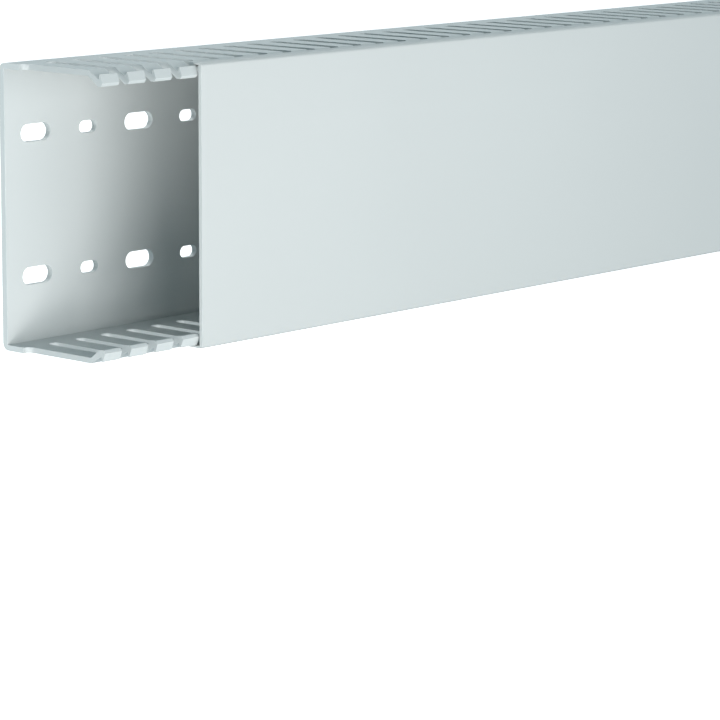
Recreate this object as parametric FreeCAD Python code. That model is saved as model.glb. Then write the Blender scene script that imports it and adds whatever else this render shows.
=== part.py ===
"""Slotted wire duct with its clip-on cover, in light grey PVC, lying on one slotted side wall.

X runs along the duct, Z across its width from the wall it lies on, and Y through its depth:
the cover looks to -Y and the perforated base to +Y. The origin is at the middle of the
footprint. Millimetres.
"""
import FreeCAD, Part
import math
import os

from FreeCAD import Vector

# Duct body: one extruded channel, with its slots punched out
WIDTH = 100.0             # across the base, over both side walls
DEPTH = 50.0              # cover front to base back
FINGER_PITCH = 12.5
FINGER_COUNT = 80         # fingers in each side wall, which gives a length of one metre
WALL = 2.0                # side wall and fingers
BASE_WALL = 2.4
BASE_CORNER_R = 2.5       # rounding along the outer edges of the base

# Slots between the fingers
SLOT_WIDTH = 4.5
FIRST_SLOT = 0.5          # from the sawn end to the middle of the slot that the saw went through
ROOT_RISE = 10.4          # solid strip of the side wall above the back of the base
ROOT_FACETS = 4           # flats round the root of a slot

# Finger heads, measured inwards from the outer face of the wall and back from the cover front
HOOK_DEPTH = 8.9          # where the finger starts to lean inwards
HEAD_TIP = 0.6            # thickness of the outer tip, front to back
HEAD_LEAD = 1.1           # slant of the head's front face, which lets the cover snap on
NOSE_DEPTH = 4.2          # where the head stands out furthest to the front
HEAD_REACH = 5.3          # inner side of the head
HEAD_ROUND = 0.8          # flat from the nose to the inner side
HEAD_BACK = 4.5           # where the inner side of the head meets the leaning finger
NECK_DEPTH = 2.9          # bottom of the notch behind the head
NOTCH_SLANT = 0.2

# Punched base: two rows of mounting slots, long and short ones by turns
ROW_SPACING = 50.0
COLUMN_PITCH = 25.0
FIRST_COLUMN = 14.5       # from the end of the duct to the first pair of slots
LONG_SLOT = (14.0, 6.2)   # length over the ends, width
SHORT_SLOT = (8.5, 4.4)
TRUE_COLUMNS = 4          # columns from each end whose slots have true arcs, for the screws
END_FACETS = 4            # flats round each end of the slots between them

# Cover: one extrusion, as long as the duct
COVER_WALL = 1.6
COVER_INSET = 0.1         # cover flange, behind the outer face of the duct
COVER_CORNER_R = 1.2
FLANGE_WALL = 0.8
BEAD_HEIGHT = 0.9         # rib along the flange that catches behind the finger heads
BEAD_CREST = 0.7
COVER_PLAY = 0.3          # between the cover and the fingers, all round
COVER_OUT = 48.0          # how far the cover is slid along the duct

LENGTH = FINGER_COUNT * FINGER_PITCH
DUCT_START = -(LENGTH + COVER_OUT) / 2.0
FRONT = -DEPTH / 2.0
HEAD_FRONT = COVER_WALL + COVER_PLAY
TIP_BACK = HEAD_FRONT + HEAD_LEAD + HEAD_TIP
FLANGE_INSIDE = COVER_INSET + FLANGE_WALL
HEAD_SETBACK = FLANGE_INSIDE + COVER_PLAY
PAST = 1.0                # how far a cutting tool stands out of what it cuts


def across(points):
    """Vectors of a section, from (depth behind the cover front, height) pairs."""
    return [Vector(0.0, FRONT + depth, height) for depth, height in points]


def closed_section(points, corner_radii):
    """Closed wire through the points, with an arc at each corner that has a radius."""
    vertices = across(points)
    edges = []
    starts = []
    ends = []
    for i, corner in enumerate(vertices):
        before = vertices[i - 1] - corner
        after = vertices[(i + 1) % len(vertices)] - corner
        radius = corner_radii.get(i, 0.0)
        if radius == 0.0:
            starts.append(corner)
            ends.append(corner)
            continue
        half = before.getAngle(after) / 2.0
        before.normalize()
        after.normalize()
        run = radius / math.tan(half)
        middle = before + after
        middle.normalize()
        crown = corner + middle * (radius / math.sin(half) - radius)
        starts.append(corner + before * run)
        ends.append(corner + after * run)
        edges.append(Part.Arc(starts[i], crown, ends[i]).toShape())
    for i in range(len(vertices)):
        following = starts[(i + 1) % len(vertices)]
        edges.append(Part.LineSegment(ends[i], following).toShape())
    return Part.Wire(Part.__sortEdges__(edges))


def extrude_along(wire, start, length):
    solid = Part.Face(wire).extrude(Vector(length, 0.0, 0.0))
    solid.translate(Vector(start, 0.0, 0.0))
    return solid


def hook_profile():
    """Outline of one finger head, from the outer bend round the head to the inner bend."""
    return [
        (HOOK_DEPTH, 0.0),
        (TIP_BACK + NOTCH_SLANT, NECK_DEPTH),
        (TIP_BACK, HEAD_SETBACK),
        (TIP_BACK - HEAD_TIP, HEAD_SETBACK),
        (HEAD_FRONT, NOSE_DEPTH),
        (HEAD_FRONT + HEAD_ROUND, HEAD_REACH),
        (HEAD_BACK, HEAD_REACH),
        (HOOK_DEPTH, WALL),
    ]


def channel():
    """Extruded channel: the base, two side walls and the hooked edges the cover grips."""
    lower = hook_profile()
    upper = [(depth, WIDTH - height) for depth, height in reversed(lower)]
    inside = DEPTH - BASE_WALL
    points = [(DEPTH, 0.0)] + lower + [(inside, WALL), (inside, WIDTH - WALL)] + upper + [(DEPTH, WIDTH)]
    radii = {0: BASE_CORNER_R, len(points) - 1: BASE_CORNER_R}
    return extrude_along(closed_section(points, radii), DUCT_START, LENGTH)


def half_round(radius, facets):
    """Points of a half circle in equal flats, from one side over the crown to the other."""
    turns = [math.pi * i / facets for i in range(facets + 1)]
    return [(radius * math.cos(turn), radius * math.sin(turn)) for turn in turns]


def finger_slot(centre):
    """Tool for one slot in both side walls: round root and straight flanks out to the front."""
    radius = SLOT_WIDTH / 2.0
    root = FRONT + DEPTH - ROOT_RISE - radius
    front = FRONT - PAST
    outline = [(radius, front)]
    outline += [(x, root + y) for x, y in half_round(radius, ROOT_FACETS)]
    outline += [(-radius, front)]
    corners = [Vector(centre + x, y, -PAST) for x, y in outline]
    face = Part.Face(Part.makePolygon(corners + corners[:1]))
    return face.extrude(Vector(0.0, 0.0, WIDTH + 2.0 * PAST))


def true_slot_outline(reach, radius):
    """Two straight sides and two arcs about the middle of the slot."""
    sides = ((-reach, -radius), (reach, -radius), (reach, radius), (-reach, radius))
    corners = [Vector(x, 0, z) for x, z in sides]
    far_crown = Vector(reach + radius, 0, 0)
    return Part.Wire([
        Part.LineSegment(corners[0], corners[1]).toShape(),
        Part.Arc(corners[1], far_crown, corners[2]).toShape(),
        Part.LineSegment(corners[2], corners[3]).toShape(),
        Part.Arc(corners[3], -far_crown, corners[0]).toShape(),
    ])


def facetted_slot_outline(reach, radius):
    """The same slot with a few flats for each arc."""
    far_end = [Vector(reach + across, 0, along) for along, across in half_round(radius, END_FACETS)]
    near_end = [Vector(-corner.x, 0, -corner.z) for corner in far_end]
    corners = far_end + near_end
    return Part.makePolygon(corners + corners[:1])


def base_slot(x, z, size, true_arcs):
    """Tool for one round-ended mounting slot through the base."""
    length, width = size
    radius = width / 2.0
    reach = length / 2.0 - radius
    outline = true_slot_outline(reach, radius) if true_arcs else facetted_slot_outline(reach, radius)
    tool = Part.Face(outline).extrude(Vector(0.0, BASE_WALL + 2.0 * PAST, 0.0))
    tool.translate(Vector(x, FRONT + DEPTH - BASE_WALL - PAST, z))
    return tool


def base_slots():
    """Both rows of slots, which run on to the far end in whole columns."""
    tools = []
    columns = int((LENGTH - FIRST_COLUMN - LONG_SLOT[0] / 2.0) // COLUMN_PITCH) + 1
    for column in range(columns):
        x = DUCT_START + FIRST_COLUMN + column * COLUMN_PITCH
        size = LONG_SLOT if column % 2 == 0 else SHORT_SLOT
        true_arcs = min(column, columns - 1 - column) < TRUE_COLUMNS
        for row in (-0.5, 0.5):
            tools.append(base_slot(x, WIDTH / 2.0 + row * ROW_SPACING, size, true_arcs))
    return tools


def duct_body():
    """Channel with its fingers parted and its base punched. The saw goes through a slot."""
    first = DUCT_START + FIRST_SLOT
    slots = [finger_slot(first + i * FINGER_PITCH) for i in range(FINGER_COUNT + 1)]
    return channel().cut(slots + base_slots())


def flange_depth():
    """Cover front to the free edge of the flange, which clears the leaning fingers."""
    lean = NECK_DEPTH / (HOOK_DEPTH - TIP_BACK - NOTCH_SLANT)
    return HOOK_DEPTH - (FLANGE_INSIDE + COVER_PLAY) / lean


def cover():
    """Flat front with two flanges, whose beads catch behind the finger heads."""
    catch = TIP_BACK + COVER_PLAY
    crest = FLANGE_INSIDE + BEAD_HEIGHT
    lower = [
        (COVER_WALL, FLANGE_INSIDE),
        (catch, FLANGE_INSIDE),
        (catch, crest),
        (catch + BEAD_CREST, crest),
        (flange_depth(), FLANGE_INSIDE),
        (flange_depth(), COVER_INSET),
        (0.0, COVER_INSET),
    ]
    upper = [(depth, WIDTH - height) for depth, height in reversed(lower)]
    points = lower + upper
    radii = {len(lower) - 1: COVER_CORNER_R, len(lower): COVER_CORNER_R}
    return extrude_along(closed_section(points, radii), DUCT_START + COVER_OUT, LENGTH)


def write_parts():
    os.makedirs("parts", exist_ok=True)
    for name, shape in (("duct_body", duct_body()), ("cover", cover())):
        solid = shape.Solids[0]
        solid.exportStep(os.path.join("parts", name + ".step"))
        box = solid.BoundBox
        print(name, len(shape.Solids), "solid", round(solid.Volume), "mm3,",
              "X", round(box.XMin, 2), round(box.XMax, 2),
              "Y", round(box.YMin, 2), round(box.YMax, 2),
              "Z", round(box.ZMin, 2), round(box.ZMax, 2))


write_parts()
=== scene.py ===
import math

import bmesh
import bpy
from mathutils import Matrix, Vector


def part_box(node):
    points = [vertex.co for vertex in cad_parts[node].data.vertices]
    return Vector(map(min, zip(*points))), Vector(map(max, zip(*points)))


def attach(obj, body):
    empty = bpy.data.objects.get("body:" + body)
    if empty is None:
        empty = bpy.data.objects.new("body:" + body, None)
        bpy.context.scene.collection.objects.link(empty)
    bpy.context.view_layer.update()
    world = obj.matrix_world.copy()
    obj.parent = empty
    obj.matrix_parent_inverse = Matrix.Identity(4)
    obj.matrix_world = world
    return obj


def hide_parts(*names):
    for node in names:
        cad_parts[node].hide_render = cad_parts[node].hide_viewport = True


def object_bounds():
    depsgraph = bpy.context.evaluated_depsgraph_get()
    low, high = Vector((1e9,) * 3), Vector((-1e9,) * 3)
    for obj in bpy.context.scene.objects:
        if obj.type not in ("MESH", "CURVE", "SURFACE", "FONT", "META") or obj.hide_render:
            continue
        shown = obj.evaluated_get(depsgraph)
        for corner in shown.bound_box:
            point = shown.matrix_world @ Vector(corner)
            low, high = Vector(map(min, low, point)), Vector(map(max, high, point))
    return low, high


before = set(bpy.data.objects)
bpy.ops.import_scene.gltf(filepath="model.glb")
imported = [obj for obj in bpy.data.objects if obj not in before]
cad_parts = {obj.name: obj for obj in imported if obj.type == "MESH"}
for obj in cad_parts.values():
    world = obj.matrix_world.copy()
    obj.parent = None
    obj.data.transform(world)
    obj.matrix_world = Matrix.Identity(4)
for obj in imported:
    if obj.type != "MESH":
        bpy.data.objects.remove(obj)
cad_low, cad_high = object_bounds()
duct_low, duct_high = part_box("duct_body")
cover_low, cover_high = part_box("cover")

# Camera. A long lens stands off the open end of the duct, a hand's width above its upper
# wall, and looks slantwise along the cover. Its stand is measured from the duct's open
# lower front corner.
MM = 0.001
right_angle = math.radians(90.0)
camera_stand = Vector((-756.7, -785.2, 204.8)) * MM
look_turn = math.radians(-48.50)
look_down = math.radians(10.51)
look_tilt = math.radians(0.27)
camera_data = bpy.data.cameras.new("photo_camera")
camera_data.sensor_width = 36.0
camera_data.lens = 163.7
camera = bpy.data.objects.new("photo_camera", camera_data)
bpy.context.collection.objects.link(camera)
camera.rotation_mode = "QUATERNION"
camera.location = Vector((duct_low.x, cad_low.y, duct_low.z)) + camera_stand
camera.rotation_quaternion = (
    Matrix.Rotation(look_turn, 3, "Z")
    @ Matrix.Rotation(right_angle - look_down, 3, "X")
    @ Matrix.Rotation(look_tilt, 3, "Z")
).to_quaternion()
bpy.context.scene.camera = camera
bpy.context.scene.view_settings.view_transform = "Standard"

# Studio. The duct lies on a plain white floor under a white dome, which show white but neither
# light nor shade it. That is left to a pale cool surround and to soft lights in front, low
# beside the open end, level with its sawn faces, above and in front of the far half.
studio_reach = 30.0
studio_glow = 0.95
surround_colour = (0.58, 0.88, 1.0, 1.0)
surround_strength = 0.32
bm = bmesh.new()
bmesh.ops.create_grid(bm, x_segments=1, y_segments=1, size=studio_reach)
bmesh.ops.create_uvsphere(bm, u_segments=32, v_segments=16, radius=studio_reach)
studio_mesh = bpy.data.meshes.new("white_studio")
bm.to_mesh(studio_mesh)
bm.free()
studio = bpy.data.objects.new("white_studio", studio_mesh)
studio.visible_diffuse = False
studio.visible_glossy = False
studio.visible_shadow = False
bpy.context.collection.objects.link(studio)
studio_paint = bpy.data.materials.new("white_studio")
studio_paint.use_nodes = True
studio_shader = studio_paint.node_tree.nodes["Principled BSDF"]
studio_shader.inputs["Base Color"].default_value = (0.80, 0.80, 0.80, 1.0)
studio_shader.inputs["Roughness"].default_value = 0.9
studio_shader.inputs["Emission Color"].default_value = (1.0, 1.0, 1.0, 1.0)
studio_shader.inputs["Emission Strength"].default_value = studio_glow
studio_mesh.materials.append(studio_paint)

world = bpy.data.worlds.new("white_surround")
world.use_nodes = True
world.node_tree.nodes["Background"].inputs["Color"].default_value = surround_colour
world.node_tree.nodes["Background"].inputs["Strength"].default_value = surround_strength
bpy.context.scene.world = world


def soft_light(name, aim, offset, size, power):
    """One soft light of a width and height, set off from its aim and turned to it."""
    data = bpy.data.lights.new(name, "AREA")
    data.shape = "RECTANGLE"
    data.size, data.size_y = size
    data.energy = power
    light = bpy.data.objects.new(name, data)
    light.location = aim + Vector(offset)
    light.rotation_euler = (aim - light.location).to_track_quat("-Z", "Y").to_euler()
    bpy.context.collection.objects.link(light)


mid_height = (duct_low.z + duct_high.z) / 2.0
open_end = Vector((duct_low.x + 100.0 * MM, 0.0, mid_height))
far_half = Vector((350.0 * MM, 0.0, mid_height))
soft_light("front_light", open_end, offset=(-0.20, -1.08, -0.03), size=(1.0, 0.6), power=8.6)
soft_light("low_light", open_end, offset=(-0.80, -0.50, -0.60), size=(0.7, 0.5), power=7.0)
soft_light("end_light", open_end, offset=(-1.00, 0.03, -0.06), size=(0.3, 0.2), power=2.1)
soft_light("top_light", open_end, offset=(0.12, 0.45, 0.75), size=(0.6, 0.4), power=5.3)
soft_light("far_light", far_half, offset=(0.20, -1.50, 0.15), size=(0.9, 0.6), power=6.0)

# Duct body. One extruded channel of rigid PVC: a flat base between two side walls, whose
# edges are folded in to a hooked lip. Slots are punched through walls and lip at an even
# pitch, which leaves fingers with broad heads, and two rows of screw slots through the base.
finger_pitch = 12.5 * MM
wall = 2.0 * MM
base_wall = 2.4 * MM
base_corner_r = 2.5 * MM
slot_r = 2.25 * MM
first_slot = 0.5 * MM     # from the sawn end to the middle of the slot that the saw went through
root_rise = 10.4 * MM     # solid strip of the side wall, from the back of the base to the roots
hook_depth = 8.9 * MM     # behind the cover's front, where a finger starts to lean inwards
head_front = 1.9 * MM     # behind the cover's front, with the play that the cover has
head_lead = 1.1 * MM      # slant of the head's front face, which lets the cover snap on
head_tip = 0.6 * MM       # thickness of the outer tip, front to back
head_round = 0.8 * MM     # flat from the nose to the inner side
head_back = 4.5 * MM      # behind the cover's front, where the head's inner side meets the finger
notch_slant = 0.2 * MM
head_setback = 1.2 * MM   # in from the outer face of the wall to the tip
neck_depth = 2.9 * MM     # and to the bottom of the notch behind it
nose_depth = 4.2 * MM     # and to the nose
head_reach = 5.3 * MM     # and to the inner side of the head
base_margin = 6.0 * MM    # from the outer face of a wall to where the punched base starts
base_span = 4             # fingers beside one unit of the punched base
root_steps = 6            # facets in a quarter of a slot's root
corner_steps = 5          # facets round a rounded corner of the duct or the cover
hair = 0.001 * MM         # nearer than this, two points or planes count as one
touch = 0.0001 * MM       # nearer than this to a cut, a point lies on it
squarely = 0.99           # a face with this much of its normal along X looks along the duct
flat_bend = 0.01          # least angle between two facets of an arc, in radians
sharp_bend = math.radians(20.0)
front = cad_low.y
back = duct_high.y
width = duct_high.z - duct_low.z
pitches = round((duct_high.x - duct_low.x) / finger_pitch)
root_crown = back - root_rise
root_centre = root_crown - slot_r


def quarter_turn(steps):
    """Angles that part a right angle in equal steps, with both its ends."""
    return [right_angle * step / steps for step in range(steps + 1)]


def wall_section():
    """Half the section, from the base round the lower wall to its lip, in the plane X = 0."""
    tip_back = head_front + head_lead + head_tip
    lip = [
        (hook_depth, 0.0),
        (tip_back + notch_slant, neck_depth),
        (tip_back, head_setback),
        (tip_back - head_tip, head_setback),
        (head_front, nose_depth),
        (head_front + head_round, head_reach),
        (head_back, head_reach),
        (hook_depth, wall),
    ]
    outline = [Vector((0.0, front + depth, height)) for depth, height in lip]
    outline.append(Vector((0.0, back - base_wall, wall)))
    outline.append(Vector((0.0, back - base_wall, base_margin)))
    outline.append(Vector((0.0, back, base_margin)))
    for turn in quarter_turn(corner_steps):
        y = back - base_corner_r + base_corner_r * math.cos(turn)
        z = base_corner_r - base_corner_r * math.sin(turn)
        outline.append(Vector((0.0, y, z)))
    return outline


def slot_half_width(y):
    """Half the width of the slot beside a finger, at a depth."""
    if y > root_crown - hair:
        return 0.0
    if y > root_centre:
        return math.sqrt(max(slot_r ** 2 - (y - root_centre) ** 2, 0.0))
    return slot_r


def cut_across(target, point, normal, clear_outer):
    """Cut through everything along a plane."""
    bmesh.ops.bisect_plane(
        target, geom=target.verts[:] + target.edges[:] + target.faces[:], dist=touch,
        plane_co=point, plane_no=normal, clear_outer=clear_outer,
    )


def extrude(target, run):
    """All the faces extruded by a run."""
    grown = bmesh.ops.extrude_face_region(target, geom=target.faces[:])
    moved = [part for part in grown["geom"] if isinstance(part, bmesh.types.BMVert)]
    bmesh.ops.translate(target, verts=moved, vec=run)


def open_seams(unit, is_seam):
    """Faces taken off where a unit joins the next one, told by their middle and normal."""
    seams = [face for face in unit.faces if is_seam(face.calc_center_median(), face.normal)]
    bmesh.ops.delete(unit, geom=seams, context="FACES")


def make_wall_unit():
    """One finger with its share of wall, corner and base edge, centred on X = 0."""
    unit = bmesh.new()
    unit.faces.new([unit.verts.new(point) for point in wall_section()])
    for turn in quarter_turn(root_steps):
        level = root_centre + slot_r * math.cos(turn)
        cut_across(unit, (0.0, level, 0.0), (0.0, 1.0, 0.0), clear_outer=False)
    extrude(unit, (finger_pitch, 0.0, 0.0))
    for vert in unit.verts:
        half = finger_pitch / 2.0 - slot_half_width(vert.co.y)
        vert.co.x = half if vert.co.x > finger_pitch / 2.0 else -half
    bmesh.ops.recalc_face_normals(unit, faces=unit.faces[:])

    def is_seam(middle, normal):
        beside_base = abs(middle.z - base_margin) < hair
        beside_finger = abs(abs(middle.x) - finger_pitch / 2.0) < hair and abs(normal.x) > squarely
        return beside_base or beside_finger

    open_seams(unit, is_seam)
    return unit


def add_slot_edges(plate, centre_x, centre_z, length, slot_width, steps):
    """Edge loop of one round-ended slot in the plane of the base's inner face."""
    radius = slot_width / 2.0
    reach = length / 2.0 - radius
    loop = []
    for side in (1.0, -1.0):
        for step in range(steps + 1):
            turn = 2.0 * right_angle * step / steps - right_angle
            x = centre_x + side * (reach + radius * math.cos(turn))
            z = centre_z + side * radius * math.sin(turn)
            loop.append(plate.verts.new((x, back - base_wall, z)))
    return [plate.edges.new((loop[i - 1], loop[i])) for i in range(len(loop))]


def make_base_unit():
    """Punched base over four fingers, with a pair of long slots and a pair of short ones."""
    column_pitch = 25.0 * MM
    first_column = 14.5 * MM - first_slot
    row_spacing = 50.0 * MM
    slots = ((14.0 * MM, 6.2 * MM), (8.5 * MM, 4.4 * MM))
    end_steps = 12
    plate = bmesh.new()
    for column, (length, slot_width) in enumerate(slots):
        low_x = column * column_pitch
        xs = [low_x, low_x + finger_pitch, low_x + column_pitch]
        rim = [plate.verts.new((x, back - base_wall, base_margin)) for x in xs]
        rim += [plate.verts.new((x, back - base_wall, width - base_margin)) for x in reversed(xs)]
        edges = [plate.edges.new((rim[i - 1], rim[i])) for i in range(len(rim))]
        for row in (-0.5, 0.5):
            centre_z = width / 2.0 + row * row_spacing
            edges += add_slot_edges(plate, low_x + first_column, centre_z, length, slot_width, end_steps)
        bmesh.ops.triangle_fill(plate, edges=edges, use_beauty=True, use_dissolve=False)
    extrude(plate, (0.0, base_wall, 0.0))
    bmesh.ops.remove_doubles(plate, verts=plate.verts[:], dist=hair)
    bmesh.ops.recalc_face_normals(plate, faces=plate.faces[:])

    def is_seam(middle, normal):
        beside_wall = min(abs(middle.z - base_margin), abs(middle.z - width + base_margin)) < hair
        across_base = min(middle.x % column_pitch, -middle.x % column_pitch) < hair
        return beside_wall or (across_base and abs(normal.x) > squarely)

    open_seams(plate, is_seam)
    return plate


def repeat_into(target, unit, offsets, mirrored):
    """Copies of a unit along X, mirrored about mid-height for the upper wall."""
    copy = bpy.data.meshes.new("unit")
    unit.to_mesh(copy)
    for offset in offsets:
        first_vert = len(target.verts)
        first_face = len(target.faces)
        target.from_mesh(copy)
        target.verts.ensure_lookup_table()
        target.faces.ensure_lookup_table()
        placed = target.verts[first_vert:]
        if mirrored:
            for vert in placed:
                vert.co.z = width - vert.co.z
            bmesh.ops.reverse_faces(target, faces=target.faces[first_face:])
        bmesh.ops.translate(target, verts=placed, vec=(offset, 0.0, 0.0))
    bpy.data.meshes.remove(copy)


def saw_off(target):
    """Both ends of the channel cut square and closed."""
    for end, outward in ((duct_low.x, -1.0), (duct_high.x, 1.0)):
        cut_across(target, (end, 0.0, 0.0), (outward, 0.0, 0.0), clear_outer=True)
        rim = [
            edge for edge in target.edges
            if edge.is_boundary and all(abs(vert.co.x - end) < hair for vert in edge.verts)
        ]
        bmesh.ops.holes_fill(target, edges=rim, sides=0)


def smooth_arcs(target):
    """Smooth shading on the facets of arcs alone, so that flat faces stay flat."""
    for face in target.faces:
        bends = [edge.calc_face_angle(0.0) for edge in face.edges]
        face.smooth = sum(flat_bend < bend < sharp_bend for bend in bends) > 1


def finished_piece(name, target):
    """Object made of a bmesh, with its faces turned outwards and its arcs smooth."""
    bmesh.ops.recalc_face_normals(target, faces=target.faces[:])
    smooth_arcs(target)
    mesh = bpy.data.meshes.new(name)
    target.to_mesh(mesh)
    target.free()
    piece = bpy.data.objects.new(name, mesh)
    bpy.context.collection.objects.link(piece)
    return piece


def round_edges(piece, size):
    """Slight rounding of all edges that bend sharply."""
    bevel = piece.modifiers.new("edge_rounding", "BEVEL")
    bevel.limit_method = "ANGLE"
    bevel.angle_limit = sharp_bend
    bevel.width = size
    bevel.segments = 2
    bevel.profile = 0.5


def noise(tree, vector, scale, detail):
    """Noise of a scale and detail over a vector."""
    texture = tree.nodes.new("ShaderNodeTexNoise")
    texture.inputs["Scale"].default_value = scale
    texture.inputs["Detail"].default_value = detail
    tree.links.new(vector, texture.inputs["Vector"])
    return texture.outputs["Fac"]


def calculate(tree, operation, *operands):
    """Result of one step of arithmetic on sockets and plain numbers."""
    step = tree.nodes.new("ShaderNodeMath")
    step.operation = operation
    for socket, operand in zip(step.inputs, operands):
        if isinstance(operand, float):
            socket.default_value = operand
        else:
            tree.links.new(operand, socket)
    return step.outputs[0]


def blend(tree, amount, tone):
    """Blend up to a tone by an amount. The colour that it starts from, A, is set by the caller."""
    mix = tree.nodes.new("ShaderNodeMix")
    mix.data_type = "RGBA"
    mix.inputs["B"].default_value = tone
    tree.links.new(amount, mix.inputs["Factor"])
    return mix


def pvc(name, colour, ends):
    """Extruded rigid PVC: semi-matt, with faint die lines along X and painted light on its sawn ends,
    which are made paler.
    """
    # The last factor is painted light: it makes the sawn end faces paler, standing in for the light that
    # falls on them.
    dark_cloud, light_cloud, painted_light_tone = 0.97, 1.02, 1.12
    painted_light_skin = 0.05 * MM       # how far in from an end the painted light goes
    smoothest, roughest = 0.36, 0.50
    grain_share = 0.35          # of the grain in the relief, beside the die lines
    relief_height = 0.05 * MM

    def tone(factor):
        return (*[part * factor for part in colour], 1.0)

    material = bpy.data.materials.new(name)
    material.use_nodes = True
    tree = material.node_tree
    shader = tree.nodes["Principled BSDF"]
    place = tree.nodes.new("ShaderNodeTexCoord").outputs["Object"]

    drawn_out = tree.nodes.new("ShaderNodeMapping")
    drawn_out.inputs["Scale"].default_value = (1.5, 900.0, 900.0)
    tree.links.new(place, drawn_out.inputs["Vector"])
    die_lines = noise(tree, drawn_out.outputs["Vector"], scale=1.0, detail=3.0)
    grain = noise(tree, place, scale=2600.0, detail=4.0)
    cloud = noise(tree, place, scale=9.0, detail=2.0)

    clouded = blend(tree, cloud, tone(light_cloud))
    clouded.inputs["A"].default_value = tone(dark_cloud)

    position = tree.nodes.new("ShaderNodeSeparateXYZ")
    tree.links.new(place, position.inputs["Vector"])
    along = position.outputs["X"]
    # Painted light: the colour is made paler at both sawn ends, where the end faces look along the duct.
    at_ends = [calculate(tree, "COMPARE", along, end, painted_light_skin) for end in ends]
    end_painted_light = blend(tree, calculate(tree, "MAXIMUM", *at_ends), tone(painted_light_tone))
    tree.links.new(clouded.outputs["Result"], end_painted_light.inputs["A"])
    tree.links.new(end_painted_light.outputs["Result"], shader.inputs["Base Color"])

    gloss = tree.nodes.new("ShaderNodeMapRange")
    gloss.inputs["To Min"].default_value = smoothest
    gloss.inputs["To Max"].default_value = roughest
    tree.links.new(die_lines, gloss.inputs["Value"])
    tree.links.new(gloss.outputs["Result"], shader.inputs["Roughness"])

    bump = tree.nodes.new("ShaderNodeBump")
    bump.inputs["Strength"].default_value = 0.10
    bump.inputs["Distance"].default_value = relief_height
    relief = calculate(tree, "MULTIPLY_ADD", grain, grain_share, die_lines)
    tree.links.new(relief, bump.inputs["Height"])
    tree.links.new(bump.outputs["Normal"], shader.inputs["Normal"])
    return material


channel = bmesh.new()
first_root = duct_low.x + first_slot
wall_unit = make_wall_unit()
finger_places = [first_root + finger_pitch * (i + 0.5) for i in range(-1, pitches)]
for mirrored in (False, True):
    repeat_into(channel, wall_unit, finger_places, mirrored)
wall_unit.free()
base_unit = make_base_unit()
base_places = [first_root + finger_pitch * i for i in range(-base_span, pitches, base_span)]
repeat_into(channel, base_unit, base_places, mirrored=False)
base_unit.free()
bmesh.ops.remove_doubles(channel, verts=channel.verts[:], dist=2.0 * hair)
saw_off(channel)
channel_piece = finished_piece("slotted_channel", channel)
round_edges(channel_piece, size=0.22 * MM)
duct_grey = (0.592, 0.610, 0.600)
channel_piece.data.materials.append(pvc("duct_pvc", duct_grey, (duct_low.x, duct_high.x)))
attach(channel_piece, "duct")
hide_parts("duct_body")

# Cover. One extrusion of the same PVC as the duct: a flat front with two short flanges,
# whose inner beads click behind the finger heads and slide along them.
cover_wall = 1.6 * MM
flange_wall = 0.8 * MM
bead_height = 0.9 * MM
bead_crest = 0.7 * MM
bead_catch = 3.9 * MM     # from the front of the cover to the face that catches the heads
cover_corner_r = 1.2 * MM


def cover_section():
    """Section of the cover, in the plane of its left end."""
    flange_depth = cover_high.y - cover_low.y
    half = [
        (cover_wall, flange_wall),
        (bead_catch, flange_wall),
        (bead_catch, flange_wall + bead_height),
        (bead_catch + bead_crest, flange_wall + bead_height),
        (flange_depth, flange_wall),
        (flange_depth, 0.0),
    ]
    for turn in quarter_turn(corner_steps):
        depth = cover_corner_r - cover_corner_r * math.sin(turn)
        half.append((depth, cover_corner_r - cover_corner_r * math.cos(turn)))
    x, y = cover_low.xy
    lower = [Vector((x, y + depth, cover_low.z + rise)) for depth, rise in half]
    upper = [Vector((x, y + depth, cover_high.z - rise)) for depth, rise in reversed(half)]
    return lower + upper


lid = bmesh.new()
lid.faces.new([lid.verts.new(point) for point in cover_section()])
extrude(lid, (cover_high.x - cover_low.x, 0.0, 0.0))
cover_piece = finished_piece("slide_cover", lid)
round_edges(cover_piece, size=0.15 * MM)
# Painted shade: the cover is the same PVC as the duct, but its grey is set darker than duct_grey so that
# its front looks less lit.
painted_shade_cover_grey = (0.528, 0.541, 0.530)
cover_piece.data.materials.append(pvc("cover_pvc", painted_shade_cover_grey, (cover_low.x, cover_high.x)))
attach(cover_piece, "cover")
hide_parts("cover")
